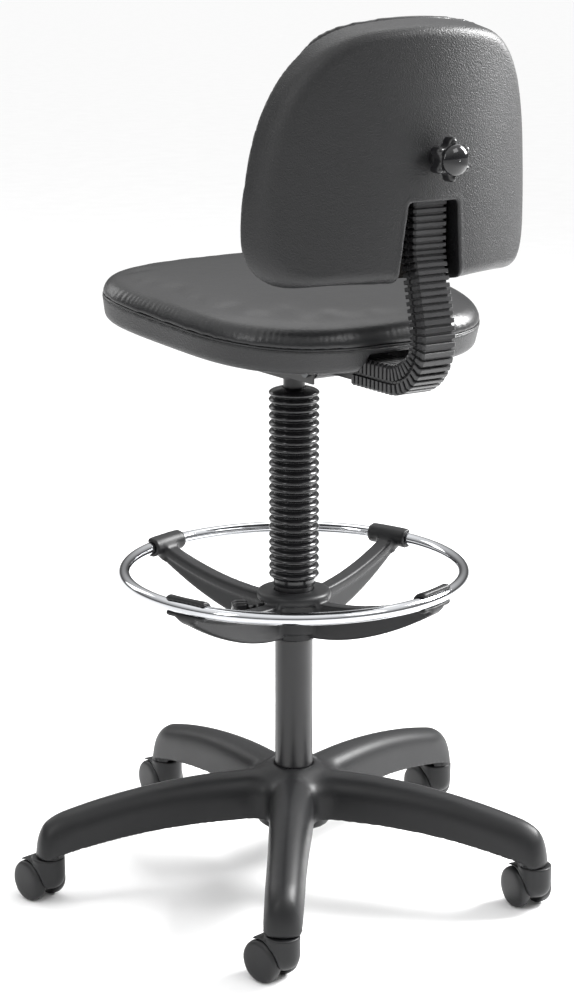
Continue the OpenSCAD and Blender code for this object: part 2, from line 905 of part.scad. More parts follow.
module caster_wheel(side) {
    w = wheel_w;
    color(black)
        translate([caster_trail, side * wheel_in_y, wheel_r])
            rotate([-90 * side, 0, 0])
                rotate_extrude()
                    polygon([
                        [axle_r + run_gap, 0], [wheel_r - 3, 0], [wheel_r, 2.5], [wheel_r, w - 4],
                        [wheel_r - 2.5, w - 1], [wheel_r - 8, w], [0, w], [0, w - 3.5], [axle_r + run_gap, w - 3.5]
                    ]);
}

star_base();
gas_tube();
guide_bush();
thrust_bearing();
column_bellows();
piston_rod();
rod_clip();
gas_cylinder();
valve_button();
mechanism();
mechanism_bolts();
tee_nuts();
tilt_pin();
height_lever();
tilt_lever();
seat_board();
seat_shell();
shell_screws();
seat_cushion();
back_bracket();
j_bar();
bracket_bolts();
jbar_bellows();
slide_bracket();
back_board();
back_shell();
back_screws();
back_cushion();
back_knob();
knob_cap();
footring();
footring_hub();
saddle_screws();
ring_knob();
for (k = CASTERS) {
    at_caster(k) caster_hood();
    at_caster(k) caster_stem();
    at_caster(k) caster_axle();
    at_caster(k) caster_wheel(1);
    at_caster(k) caster_wheel(-1);
}
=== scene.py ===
import json
import math
import bpy
import numpy as np
from mathutils import Matrix, Vector


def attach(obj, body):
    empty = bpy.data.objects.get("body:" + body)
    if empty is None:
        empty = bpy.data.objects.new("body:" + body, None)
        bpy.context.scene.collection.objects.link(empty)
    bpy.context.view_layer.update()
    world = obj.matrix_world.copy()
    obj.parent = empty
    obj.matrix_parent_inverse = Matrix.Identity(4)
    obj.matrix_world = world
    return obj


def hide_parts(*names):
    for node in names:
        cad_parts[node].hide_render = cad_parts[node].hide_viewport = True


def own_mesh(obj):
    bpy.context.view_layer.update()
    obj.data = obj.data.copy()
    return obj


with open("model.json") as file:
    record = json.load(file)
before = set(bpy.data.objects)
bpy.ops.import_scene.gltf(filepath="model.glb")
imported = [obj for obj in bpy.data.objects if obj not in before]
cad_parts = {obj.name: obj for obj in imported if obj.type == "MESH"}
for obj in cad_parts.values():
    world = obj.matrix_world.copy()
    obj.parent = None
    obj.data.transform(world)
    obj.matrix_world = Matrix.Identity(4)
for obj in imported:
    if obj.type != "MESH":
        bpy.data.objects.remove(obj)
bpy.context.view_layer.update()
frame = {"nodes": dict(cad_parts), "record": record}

MM = 0.001
scene = bpy.context.scene

# ---------------------------------------------------------------- camera, floor and light

VIEW_AZIMUTH = math.radians(146.3)  # 0 would look along +Y
VIEW_YAW = -0.0031
VIEW_PITCH = 0.2454
VIEW_DISTANCE = 2.9295
VIEW_HEIGHT = 1.2502
LENS, SENSOR = 84.15, 36
SKY_STRENGTH = 1.35
PLAIN_WHITE = (0.97, 0.97, 0.97, 1)


def make_camera():
    """The photo's camera, and its forward and right directions in the plan."""
    forward = Vector((-math.sin(VIEW_AZIMUTH), math.cos(VIEW_AZIMUTH), 0))
    right = Vector((math.cos(VIEW_AZIMUTH), math.sin(VIEW_AZIMUTH), 0))
    look = forward * math.cos(VIEW_YAW) + right * math.sin(VIEW_YAW)
    look = look * math.cos(VIEW_PITCH) - Vector((0, 0, math.sin(VIEW_PITCH)))
    camera = bpy.data.objects.new("camera", bpy.data.cameras.new("camera"))
    camera.data.lens, camera.data.sensor_width = LENS, SENSOR
    camera.data.clip_end = 100
    camera.location = forward * -VIEW_DISTANCE + Vector((0, 0, VIEW_HEIGHT))
    camera.rotation_euler = look.to_track_quat("-Z", "Y").to_euler()
    scene.collection.objects.link(camera)
    scene.camera = camera
    return forward, right


def area_light(name, at, towards, size, power):
    """A rectangular lamp that faces a point."""
    lamp = bpy.data.lights.new(name, "AREA")
    lamp.shape = "RECTANGLE"
    lamp.size, lamp.size_y = size
    lamp.energy = power
    obj = bpy.data.objects.new(name, lamp)
    obj.location = at
    obj.rotation_euler = (Vector(towards) - Vector(at)).to_track_quat("-Z", "Y").to_euler()
    scene.collection.objects.link(obj)


def make_studio(forward, right):
    """Five lamps and a sky that brightens upwards. The camera itself sees plain white behind the chair."""
    up = Vector((0, 0, 1))
    middle = up * 0.6
    lamps = (
        ("right_box", right * 2.5 + forward * 0.9 + up * 2.1, up * 0.95, (1.2, 1.4), 230),
        ("key", forward * -1.6 + right * 2.2 + up * 2.8, up * 0.8, (1.2, 1.2), 22),
        ("overhead", forward * 0.9 + up * 3.0, middle, (2.4, 1.4), 18),
        ("left_front", right * -2.3 + forward * -2.2 + up * 2.2, up * 0.8, (0.6, 1.6), 20),
        ("left_back", right * -2.4 + forward * 2.0 + up * 1.8, middle, (1.0, 1.6), 14),
    )
    for lamp in lamps:
        area_light(*lamp)
    world = bpy.data.worlds.new("studio")
    world.use_nodes = True
    tree = world.node_tree
    place = node(tree, "ShaderNodeTexCoord")
    split = node(tree, "ShaderNodeSeparateXYZ")
    ramp = node(tree, "ShaderNodeValToRGB")
    tree.links.new(place.outputs["Generated"], split.inputs["Vector"])
    tree.links.new(split.outputs["Z"], ramp.inputs["Fac"])
    low, high = ramp.color_ramp.elements
    low.position, low.color = 0.15, (0.1, 0.1, 0.1, 1)
    high.position, high.color = 0.75, (1, 1, 1, 1)
    sky, pale = tree.nodes["Background"], node(tree, "ShaderNodeBackground", Strength=1.0)
    sky.inputs["Strength"].default_value = SKY_STRENGTH
    pale.inputs["Color"].default_value = PLAIN_WHITE
    seen, mix = node(tree, "ShaderNodeLightPath"), node(tree, "ShaderNodeMixShader")
    tree.links.new(ramp.outputs["Color"], sky.inputs["Color"])
    tree.links.new(seen.outputs["Is Camera Ray"], mix.inputs["Fac"])
    tree.links.new(sky.outputs["Background"], mix.inputs[1])
    tree.links.new(pale.outputs["Background"], mix.inputs[2])
    tree.links.new(mix.outputs["Shader"], tree.nodes["World Output"].inputs["Surface"])
    scene.world = world
    scene.view_settings.view_transform = "Standard"


# ---------------------------------------------------------------- materials


def node(tree, kind, **values):
    """A shader node with some of its inputs or settings given."""
    made = tree.nodes.new(kind)
    for key, value in values.items():
        if key in made.inputs:
            made.inputs[key].default_value = value
        else:
            setattr(made, key, value)
    return made


PLAIN_GRAIN = (900, 0.25, 0.00025)


def material(name, colour, rough, grain, vary=0.12, smudge=0.05, **shader):
    """A moulded, painted or upholstered finish: mottled colour, uneven gloss and a fine relief."""
    made = bpy.data.materials.new(name)
    made.use_nodes = True
    tree = made.node_tree
    bsdf = tree.nodes["Principled BSDF"]
    for key, value in shader.items():
        bsdf.inputs[key.replace("_", " ")].default_value = value
    place = node(tree, "ShaderNodeTexCoord")
    link = tree.links.new

    broad = node(tree, "ShaderNodeTexNoise", Scale=9.0, Detail=4.0, Roughness=0.55)
    link(place.outputs["Object"], broad.inputs["Vector"])
    tint = node(tree, "ShaderNodeValToRGB")
    low, high = (tuple(c * k for c in colour) + (1,) for k in (1 - vary, 1 + vary))
    tint.color_ramp.elements[0].position, tint.color_ramp.elements[0].color = 0.35, low
    tint.color_ramp.elements[1].position, tint.color_ramp.elements[1].color = 0.65, high
    link(broad.outputs["Fac"], tint.inputs["Fac"])
    link(tint.outputs["Color"], bsdf.inputs["Base Color"])

    wear = node(tree, "ShaderNodeTexNoise", Scale=55.0, Detail=5.0, Roughness=0.6)
    link(place.outputs["Object"], wear.inputs["Vector"])
    gloss = node(tree, "ShaderNodeMapRange")
    gloss.inputs["To Min"].default_value = max(0.02, rough - smudge)
    gloss.inputs["To Max"].default_value = min(1.0, rough + smudge)
    link(wear.outputs["Fac"], gloss.inputs["Value"])
    link(gloss.outputs["Result"], bsdf.inputs["Roughness"])

    scale, strength, depth = grain
    if strength:
        cells = node(tree, "ShaderNodeTexVoronoi", Scale=scale, feature="SMOOTH_F1")
        fine = node(tree, "ShaderNodeTexNoise", Scale=scale * 0.6, Detail=3.0)
        both = node(tree, "ShaderNodeMath", operation="ADD")
        bump = node(tree, "ShaderNodeBump", Strength=strength, Distance=depth)
        link(place.outputs["Object"], cells.inputs["Vector"])
        link(place.outputs["Object"], fine.inputs["Vector"])
        link(cells.outputs["Distance"], both.inputs[0])
        link(fine.outputs["Fac"], both.inputs[1])
        link(both.outputs["Value"], bump.inputs["Height"])
        link(bump.outputs["Normal"], bsdf.inputs["Normal"])
    return made


# Slot: colour, roughness, grain as scale, strength and depth, and whatever else differs
FINISHES = {
    "base_nylon": ((0.011, 0.0112, 0.012), 0.42, (1100, 0.3, 0.0002), {"Specular_IOR_Level": 0.3}),
    "wheel_plastic": ((0.014, 0.0142, 0.015), 0.42, (1200, 0.2, 0.0002), {"Specular_IOR_Level": 0.3}),
    "shell_plastic": ((0.007, 0.0072, 0.008), 0.46, (700, 0.9, 0.0004), {"Specular_IOR_Level": 0.5}),
    "black_plastic": ((0.008, 0.008, 0.009), 0.3, (1200, 0.2, 0.0002), {}),
    "gloss_cap": ((0.01, 0.01, 0.011), 0.1, (900, 0.05, 0.0001), {"smudge": 0.03}),
    "bellows_gloss": ((0.008, 0.008, 0.009), 0.2, (900, 0.1, 0.0002), {}),
    "bellows_satin": ((0.018, 0.018, 0.019), 0.36, (900, 0.3, 0.0002), {}),
    "vinyl": ((0.009, 0.0092, 0.01), 0.34, (520, 0.4, 0.0003), {"Specular_IOR_Level": 0.45}),
    "black_steel": ((0.01, 0.01, 0.011), 0.34, (1500, 0.2, 0.0001), {}),
    "chrome": ((0.56, 0.57, 0.59), 0.07, (300, 0.0, 0), {"vary": 0.02, "smudge": 0.03, "Metallic": 1.0}),
    # zinc_steel: far darker than plated steel; this is painted shade, so that the mechanism seen through the
    # bar's way under the seat reads as the shadow there
    "zinc_steel": ((0.14, 0.145, 0.15), 0.35, (800, 0.2, 0.0001), {"Metallic": 1.0}),
    "white_nylon": ((0.7, 0.7, 0.68), 0.4, PLAIN_GRAIN, {}),
    "red_plastic": ((0.45, 0.03, 0.02), 0.35, PLAIN_GRAIN, {}),
    # plywood: near black rather than wood colour; this is painted shade, so that the back board's thin edge
    # between the back shell's rim and its pad reads as a shaded gap
    "plywood": ((0.02, 0.016, 0.013), 0.6, (300, 0.4, 0.0004), {"vary": 0.25}),
}


def make_materials():
    """One finish for each material slot of the record."""
    return {
        name: material(name, colour, rough, grain, **more)
        for name, (colour, rough, grain, more) in FINISHES.items()
    }


# ---------------------------------------------------------------- shapes from distance fields, in millimetres


def smin(a, b, k):
    """Union of two fields, rounded over a width k."""
    return np.minimum(a, b) - np.maximum(k - np.abs(a - b), 0) ** 2 / (4 * k)


def smax(a, b, k):
    """Intersection of two fields, rounded over a width k."""
    return -smin(-a, -b, k)


def step(low, high, v):
    """A smooth climb from 0 to 1 between two values."""
    t = np.clip((v - low) / (high - low), 0, 1)
    return t * t * (3 - 2 * t)


def turned(x, y, degrees):
    """Coordinates along and across a direction in the plan."""
    c, s = math.cos(math.radians(degrees)), math.sin(math.radians(degrees))
    return x * c + y * s, y * c - x * s


def box_field(x, y, z, half, k):
    """A box round the origin with its edges rounded."""
    return smax(smax(np.abs(x) - half[0], np.abs(y) - half[1], k), np.abs(z) - half[2], k)


SPAN_STEPS = 24  # points along each span of an outline
OUTLINE_SAMPLES = 721  # directions round an outline, half a degree apart, with the ends meeting
SMOOTHING = 27  # directions over which an outline is evened out


class Outline:
    """Signed distance from a closed smooth line through points, which its centre sees whole."""

    def __init__(self, points, centre=(0, 0)):
        p = np.asarray(points, float) - centre
        self.centre = centre
        before, after, later = np.roll(p, 1, 0), np.roll(p, -1, 0), np.roll(p, -2, 0)
        bend, twist = 2 * before - 5 * p + 4 * after - later, 3 * (p - after) + later - before
        dense = np.concatenate([
            p + 0.5 * t * (after - before + t * (bend + t * twist))
            for t in np.linspace(0, 1, SPAN_STEPS, endpoint=False)
        ])
        angle = np.arctan2(dense[:, 1], dense[:, 0])
        order = np.argsort(angle)
        self.angle = np.linspace(-math.pi, math.pi, OUTLINE_SAMPLES)
        radius = np.interp(self.angle, angle[order], np.hypot(*dense[order].T), period=2 * math.pi)
        spare = SMOOTHING - 3
        ring = np.concatenate([radius[-spare - 1:-1], radius[:-1], radius[:spare]])
        kernel = np.hanning(SMOOTHING)
        self.radius = np.convolve(ring, kernel / kernel.sum(), "same")[spare:1 - spare]
        self.radius[-1] = self.radius[0]
        slope = np.gradient(self.radius, self.angle) / self.radius
        self.flat = 1 / np.sqrt(1 + slope**2)

    def __call__(self, x, y):
        u, v = x - self.centre[0], y - self.centre[1]
        angle = np.arctan2(v, u)
        reach = np.interp(angle, self.angle, self.radius)
        return (np.hypot(u, v) - reach) * np.interp(angle, self.angle, self.flat)

    def ring(self, count, inset=0.0):
        """Evenly turned points on the line, drawn in by a distance."""
        a = np.linspace(-math.pi, math.pi, count, endpoint=False)
        r = np.interp(a, self.angle, self.radius) - inset
        return np.stack([r * np.cos(a) + self.centre[0], r * np.sin(a) + self.centre[1]], 1)


NUDGE = 0.05  # millimetres between the two readings of a field's slope
LEAST_SLOPE = 0.05  # squared, so that a flat spot throws no vertex far away


def surface(field, low, high, pitch, polish=2):
    """Vertices and quads of the surface where a distance field is zero, by surface nets in a box."""
    axes = [np.arange(a, b + pitch, pitch) for a, b in zip(low, high)]
    values = field(*np.meshgrid(*axes, indexing="ij"))
    inside = values < 0
    cells = tuple(n - 1 for n in values.shape)
    corner = [(i, j, k) for i in (0, 1) for j in (0, 1) for k in (0, 1)]

    def at(grid, c):
        return grid[c[0]:c[0] + cells[0], c[1]:c[1] + cells[1], c[2]:c[2] + cells[2]]

    count = sum(at(inside, c).astype(np.int8) for c in corner)
    active = (count > 0) & (count < 8)
    number = np.full(cells, -1, np.int64)
    number[active] = np.arange(active.sum())
    total, hits = np.zeros((active.sum(), 3)), np.zeros(active.sum())
    for a in corner:
        for axis in range(3):
            if a[axis]:
                continue
            b = tuple(v + (n == axis) for n, v in enumerate(a))
            fa, fb = at(values, a)[active], at(values, b)[active]
            cross = (fa < 0) != (fb < 0)
            point = np.tile(np.array(a, float), (cross.sum(), 1))
            point[:, axis] += (fa / np.where(cross, fa - fb, 1))[cross]
            total[cross] += point
            hits[cross] += 1
    verts = (np.argwhere(active) + total / hits[:, None]) * pitch + np.array(low)
    for _ in range(polish):
        here = field(*verts.T)
        slope = np.stack([(field(*(verts + d).T) - here) / NUDGE for d in np.eye(3) * NUDGE], 1)
        size = np.maximum((slope**2).sum(1), LEAST_SLOPE)
        verts -= np.clip(here / size, -pitch, pitch)[:, None] * slope
    quads = []
    for axis in range(3):
        u, v = (axis + 1) % 3, (axis + 2) % 3
        first = [slice(None)] * 3
        second = [slice(None)] * 3
        first[axis], second[axis] = slice(0, -1), slice(1, None)
        change = inside[tuple(first)] != inside[tuple(second)]
        p = np.argwhere(change)
        p = p[(p[:, u] > 0) & (p[:, v] > 0) & (p[:, u] < cells[u]) & (p[:, v] < cells[v])]
        eu, ev = np.eye(3, dtype=int)[u], np.eye(3, dtype=int)[v]
        quad = np.stack([number[tuple(q.T)] for q in (p, p - eu, p - eu - ev, p - ev)], 1)
        flip = ~inside[tuple(p.T)]
        quad[flip] = quad[flip][:, ::-1]
        quads.append(quad)
    return verts, np.concatenate(quads)


def revolve(profile, count=64):
    """A closed ring of (radius, height) points turned round Z."""
    p = np.asarray(profile, float)
    a = np.linspace(0, 2 * math.pi, count, endpoint=False)
    verts = np.stack([
        np.outer(np.cos(a), p[:, 0]), np.outer(np.sin(a), p[:, 0]), np.tile(p[:, 1], (count, 1))
    ], 2).reshape(-1, 3)
    return verts, loft_quads(count, len(p), True)


def loft_quads(rows, cols, closed):
    """Quads between successive closed rings of points."""
    i, j = np.meshgrid(np.arange(rows if closed else rows - 1), np.arange(cols), indexing="ij")
    a, b = i * cols + j, i * cols + (j + 1) % cols
    c, d = ((i + 1) % rows) * cols + (j + 1) % cols, ((i + 1) % rows) * cols + j
    return np.stack([a, d, c, b], 2).reshape(-1, 4)


def tube(path, radius, sides=10):
    """A round bead along a closed path."""
    p = np.asarray(path, float)
    ahead = np.roll(p, -1, 0) - np.roll(p, 1, 0)
    ahead /= np.linalg.norm(ahead, axis=1)[:, None]
    side = np.cross(ahead, [0.0, 0.0, 1.0])
    side /= np.maximum(np.linalg.norm(side, axis=1), 1e-6)[:, None]
    lift = np.cross(side, ahead)
    a = np.linspace(0, 2 * math.pi, sides, endpoint=False)
    round_it = np.cos(a)[None, :, None] * side[:, None] + np.sin(a)[None, :, None] * lift[:, None]
    verts = p[:, None] + radius * round_it
    return verts.reshape(-1, 3), loft_quads(len(p), sides, True)


def joined(first, second):
    """Two shapes as one."""
    return (
        np.concatenate([first[0], second[0]]),
        np.concatenate([first[1], second[1] + len(first[0])]),
    )


def piece(name, shape, body, slot, nodes=(), place=None, smooth=True):
    """A Blender object from vertices in millimetres, riding on a CAD body."""
    verts, quads = shape
    v = np.asarray(verts, float) * MM
    mesh = bpy.data.meshes.new(name)
    if place is not None:
        m = np.array(place)
        v = v @ m[:3, :3].T + m[:3, 3]
    mesh.from_pydata(v.tolist(), [], np.asarray(quads).tolist())
    mesh.polygons.foreach_set("use_smooth", [smooth] * len(mesh.polygons))
    mesh.materials.append(MATERIALS[slot])
    mesh.update()
    obj = bpy.data.objects.new(name, mesh)
    scene.collection.objects.link(obj)
    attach(obj, body)
    if nodes:
        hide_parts(*nodes)
    return obj


def at_angle(degrees, offset):
    """A place turned round Z and moved, in millimetres."""
    return Matrix.Translation(Vector(offset) * MM) @ Matrix.Rotation(math.radians(degrees), 4, "Z")


# ---------------------------------------------------------------- base and casters

ARM_ANGLES = (54, 126, 198, 270, 342)
HEADINGS = (283, 265, 275, 270, 281)
STEM_R, SOCKET_R, ARM_END_Z, ARM_TIP_R = 332, 22, 62, 354
HUB_R, HUB_TOP, TUBE_BORE_R = 43, 158, 25.05
BASE_WALL, RIB_HALF = 5.5, 1.7
HOOD_R, HOOD_TOP = 21.5, 61
AXLE_X, AXLE_Z, WHEEL_Y = 19, 27, 8.6
FAR = 1e3  # a distance that no field reaches


def arm_top(r):
    """Height of an arm's upper face at a radius."""
    return HUB_TOP - 6 - 35 * (np.maximum(r - 90, 0) / 232) ** 2


def base_field(x, y, z):
    """The five-arm base: hollow underneath, with a rib in each arm, round sockets and lugs on the hub."""
    rho = np.hypot(x, y)
    plan = rho - HUB_R
    rib, scoop, lug, boss = (np.full_like(rho, FAR) for _ in range(4))
    for a in ARM_ANGLES:
        r, s = turned(x, y, a)
        half = 26.5 - 4.0 * step(50, 250, r) - 0.5 * step(250, 330, r)
        arm = np.where(r > STEM_R, np.hypot(r - STEM_R, s) - SOCKET_R, np.abs(s) - half)
        arm = np.where(r < 0, np.hypot(r, s) - 26, arm)
        plan = smin(plan, arm, 30)
        rib = np.minimum(rib, np.where(r > 0, np.abs(s), FAR))
        boss = np.minimum(boss, np.hypot(r - STEM_R, s))
        bowl = np.sqrt(((r - 306) / 11) ** 2 + (s / 12) ** 2 + ((z - ARM_END_Z) / 19) ** 2)
        scoop = np.minimum(scoop, (bowl - 1) * 11)
        u, v = turned(x, y, a + 36)
        lug = np.minimum(lug, box_field(u - 42, v, z - 112, (6, 7.5, 17), 3))
    over = smax(z - arm_top(rho), rho - ARM_TIP_R, 44) - 6 * (1 - step(27, 50, rho))
    flare = 0.045 * np.maximum(arm_top(rho) - z, 0)
    arms = smax(plan - flare, over, 29)
    under = 95 - 24 * (np.maximum(rho - 110, 0) / 200) ** 2
    under = np.where(boss < 22.8, ARM_END_Z, under)
    hollow = smax(arms + BASE_WALL, np.maximum(54 - rho, rho - 301), 4)
    hollow = np.maximum(hollow, RIB_HALF - rib)
    arms = smax(smax(arms, under - z, 2.0), -hollow, 1.2)
    arms = smax(arms, -scoop, 2.5)
    flange = smax(rho - 47.5, np.abs(z - 87.5) - 9.5, 2.5)
    solid = smin(smin(arms, flange, 3), lug, 4)
    return smax(solid, TUBE_BORE_R - rho, 1.0)


def hood_field(x, y, z):
    """One caster's hood, on its stem, with the axle trailing along +X."""
    shell = smax(smax(np.hypot(x, y) - HOOD_R, 18 - z, 20), z - HOOD_TOP, 2.5)
    axle = np.hypot(x - AXLE_X, z - AXLE_Z)
    fender = smax(np.abs(axle - 29.5) - 1.3, np.abs(y) - 21, 2)
    fender = smax(fender, np.maximum(np.maximum(49 - z, -x), x - 31), 2)
    fender = smax(fender, z - HOOD_TOP, 2)
    side = smax(np.abs(y) - 8.2, axle - 22, 1)
    groove = np.maximum(8.2 - np.abs(y), axle - 28.3)
    solid = smax(smin(shell, fender, 3), -groove, 0.8)
    return smin(solid, side, 1)


# A wheel's half section as radius and distance from its inner face, with a blind bore for the axle
WHEEL = (
    (3.1, 0.3), (22, 0.3), (24.5, 0.8), (26.4, 2.2), (27, 4.5), (27, 8.5),
    (26.6, 11.5), (25.4, 13.9), (23.4, 15.2), (20.5, 15.9), (16, 16.3), (10, 16.45),
    (4, 16.5), (0.7, 16.5), (0.05, 16.5), (0.05, 12), (3.1, 12),
)


def make_base():
    star = surface(base_field, (-362, -362, 56), (362, 362, 166), 3.2)
    piece("base_star", star, "base", "base_nylon", ["star_base"])
    hood = surface(hood_field, (-24, -24, 14), (54, 24, 64), 1.2)
    wheel = revolve(WHEEL, 72)
    for k, (a, heading) in enumerate(zip(ARM_ANGLES, HEADINGS), 1):
        stem = (STEM_R * math.cos(math.radians(a)), STEM_R * math.sin(math.radians(a)), 0)
        place = at_angle(heading, stem)
        piece(f"caster_{k}_hood", hood, f"caster_{k}", "base_nylon", [f"caster_hood_{k}"], place)
        for side, sign in (("left", 1), ("right", -1)):
            on_axle = place @ Matrix.Translation(Vector((AXLE_X, sign * WHEEL_Y, AXLE_Z)) * MM)
            on_axle = on_axle @ Matrix.Rotation(math.radians(-90 * sign), 4, "X")
            name = f"caster_{k}_wheel_{side}"
            piece(name, wheel, f"roller_{side}_{k}", "wheel_plastic", [f"wheel_{side}_{k}"], on_axle)


# ---------------------------------------------------------------- column, foot ring

RING_R, RING_Z, RING_TUBE_R, SADDLE_BORE_R = 220.5, 423, 8, 8.1
RING_ARMS = (19.3, 109.3, 199.3, 289.3)
CLAMP_ANGLE, CLAMP_Z = 334.3, 368
SLEEVE_BORE_R, RING_BORE_R = 25.6, 25.4
VALLEY_R, SWELL = 27.2, 5.6


def make_column():
    """The ringed dust cover, as one closed section turned round the column."""
    rings, bottom, top, cap = 23, 410.5, 666, 11
    pitch = (top - bottom - cap - 3) / rings
    profile = [(SLEEVE_BORE_R, bottom - 6), (26.6, bottom - 6), (27.1, bottom - 5.2), (27.1, bottom + 2.4)]
    for i in range(rings):
        for u in np.linspace(0.04, 0.96, 13):
            swell = max(0.0, math.sin(math.pi * (u - 0.04) / 0.92)) ** 0.75
            profile.append((VALLEY_R + SWELL * swell, bottom + 3 + (i + u) * pitch))
    profile += [(28.2, top - cap), (30.6, top - cap + 0.8), (32.4, top - cap + 2.4), (32.8, top - cap + 4)]
    profile += [(32.0, top - cap + 5.6), (29.5, top - 3.6), (25, top - 1.9), (20, top - 0.7)]
    profile += [(16.5, top), (15, top), (15, top - 4), (SLEEVE_BORE_R, top - 12)]
    sleeve = piece("column_sleeve", revolve(profile, 96), "base", "bellows_gloss", ["column_bellows"])
    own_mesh(sleeve)


def ring_hub_field(x, y, z):
    """The foot ring's hub: a flanged sleeve with four arms, each with a saddle under the ring."""
    rho = np.hypot(x, y)
    disc = smax(rho - 48.5, np.abs(z - 391) - 7, 7)
    trunk = smax(rho - 37, np.abs(z - 366) - 22, 3)
    collar = smax(rho - 30, np.abs(z - 345) - 12, 3)
    solid = smin(smin(disc, trunk, 4), collar, 3)
    around = np.hypot(rho - RING_R, z - RING_Z)
    for a in RING_ARMS:
        r, s = turned(x, y, a)
        top = 386 + 40 * (np.maximum(r - 36, 0) / 184.5) ** 2
        top = top - (top - 413.5) * step(208, 213, r)
        low = 337 + 66 * (np.maximum(r - 30, 0) / 190.5) ** 1.8
        web = 7.6 + 3.0 * step(top - 16, top - 11, z)
        arm = smax(np.abs(s) - web, np.maximum(z - top, low - z), 5)
        arm = smax(arm, np.maximum(r - 224, 20 - r), 4)
        saddle = smax(around - 13.2, np.abs(s) - 30, 4)
        saddle = smax(saddle, np.maximum(r - RING_R - 4, -r), 2)
        solid = smin(solid, smin(arm, saddle, 7), 6)
    u, v = turned(x, y, CLAMP_ANGLE)
    boss = smax(np.hypot(v, z - CLAMP_Z) - 11, np.abs(u - 35) - 15, 2)
    solid = smin(solid, boss, 3)
    solid = smax(solid, SADDLE_BORE_R - around, 0.6)
    return smax(solid, RING_BORE_R - rho, 0.6)


def star_knob(core, lobe, reach, low, high):
    """A six-lobed grip along +Z, with hollows between the lobes and rounded edges."""

    def field(x, y, z):
        rho, angle = np.hypot(x, y), np.arctan2(y, x)
        folded = np.mod(angle, math.pi / 3) - math.pi / 6
        lobes = np.hypot(rho * np.cos(folded) - reach, rho * np.sin(folded)) - lobe
        side = smin(rho - core, lobes, 7)
        return smax(side, np.abs(z - (low + high) / 2) - (high - low) / 2, 7)

    return field


def make_ring():
    a = np.linspace(0, 2 * math.pi, 32, endpoint=False)
    circle = np.stack([RING_R + RING_TUBE_R * np.cos(a), RING_Z + RING_TUBE_R * np.sin(a)], 1)
    piece("foot_ring_tube", revolve(circle, 240), "foot_rest", "chrome", ["footring"])
    hub = surface(ring_hub_field, (-242, -242, 328), (242, 242, 442), 2.4)
    piece("foot_ring_hub", hub, "foot_rest", "base_nylon", ["footring_hub"])
    grip = surface(star_knob(12, 3.4, 13.4, 60, 82), (-20, -20, 56), (20, 20, 86), 1.0)
    stud = revolve([(0.05, 25.5), (4, 25.5), (4, 50.5), (9, 51), (9, 62), (0.05, 62)], 32)
    place = at_angle(CLAMP_ANGLE, (0, 0, CLAMP_Z)) @ Matrix.Rotation(math.radians(90), 4, "Y")
    piece("foot_ring_knob", joined(grip, stud), "ring_clamp", "black_plastic", ["ring_knob"], place)


# ---------------------------------------------------------------- seat

SEAM_Z, SEAT_TILT = 773.5, 5
SEAT_PLACE = Matrix.Translation((0, 0, SEAM_Z * MM)) @ Matrix.Rotation(math.radians(-SEAT_TILT), 4, "X")
SEAT_HALF, SEAT_REAR, SEAT_FRONT, SEAT_SHIFT = 206, 184, 235, 40
SEAT_CENTRE = (0, 20)
SHELL_DEPTH = 32


def seat_points():
    """The seat's plan: rounder at the rear, squarer at the front and wider there."""
    points = []
    for t in np.linspace(0, 2 * math.pi, 240, endpoint=False):
        c, s = math.cos(t), math.sin(t)
        n = 3 if s >= 0 else 3.7
        x = SEAT_HALF * math.copysign(abs(c) ** (2 / n), c)
        y = (SEAT_REAR if s >= 0 else SEAT_FRONT) * math.copysign(abs(s) ** (2 / n), s)
        points.append((x * (1 - 0.11 * y / 200), y + SEAT_SHIFT))
    return points


SEAT = Outline(seat_points(), SEAT_CENTRE)
SHELL_SCREWS = ((150, -130), (165, 10), (120, 150))
ARM_HOLES = ((150, -35), (150, 55))


def seat_shell_field(x, y, z):
    """The shell under the seat, with a way for the bar, two flanges beside it and holes for screws."""
    side = SEAT(x, y) + 0.16 * np.maximum(-z - 2, 0)
    solid = smax(side, -SHELL_DEPTH - z, 10)
    solid = smax(solid, z + 1.2, 1.2)
    way = smax(smax(np.abs(x) - 38 - 0.55 * np.maximum(-9 - z, 0), 104 - y, 3), z + 9, 3)
    solid = smax(solid, -way, 3)
    solid = smin(solid, box_field(np.abs(x) - 42, y - 150, z + 24, (2, 42, 15), 1.5), 1.5)
    for px, py in SHELL_SCREWS:
        solid = smax(solid, -np.maximum(np.hypot(np.abs(x) - px, y - py) - 5.2, z + 27), 1)
    for px, py in ARM_HOLES:
        solid = smax(solid, -np.maximum(np.hypot(np.abs(x) - px, y - py) - 9, z + 3), 1)
    return solid


def seat_cushion_field(x, y, z):
    """The crowned pad above the seam."""
    plan = SEAT(x, y)
    dome = np.maximum(1 - (x / 205) ** 2 - ((y - 35) / 220) ** 2, 0)
    crown = 13 + 16.5 * (1 - np.exp(-np.maximum(-plan, 0) / 20)) + 8.5 * dome
    return smax(smax(plan - 0.2, z - crown, 15), -z - 0.7, 5)


def vectors(mesh, attribute):
    """A vertex attribute of a mesh, as rows of three numbers."""
    flat = np.empty(len(mesh.vertices) * 3)
    mesh.vertices.foreach_get(attribute, flat)
    return flat.reshape(-1, 3)


def within(place, points):
    """Points in the frame of a placed piece."""
    back = np.array(place.inverted())
    return points @ back[:3, :3].T + back[:3, 3]


CLOTH_FRAMES, CLOTH_PRESSURE = 20, 4
INWARD_SHARE = 0.12  # of the cap, for a point that would sink


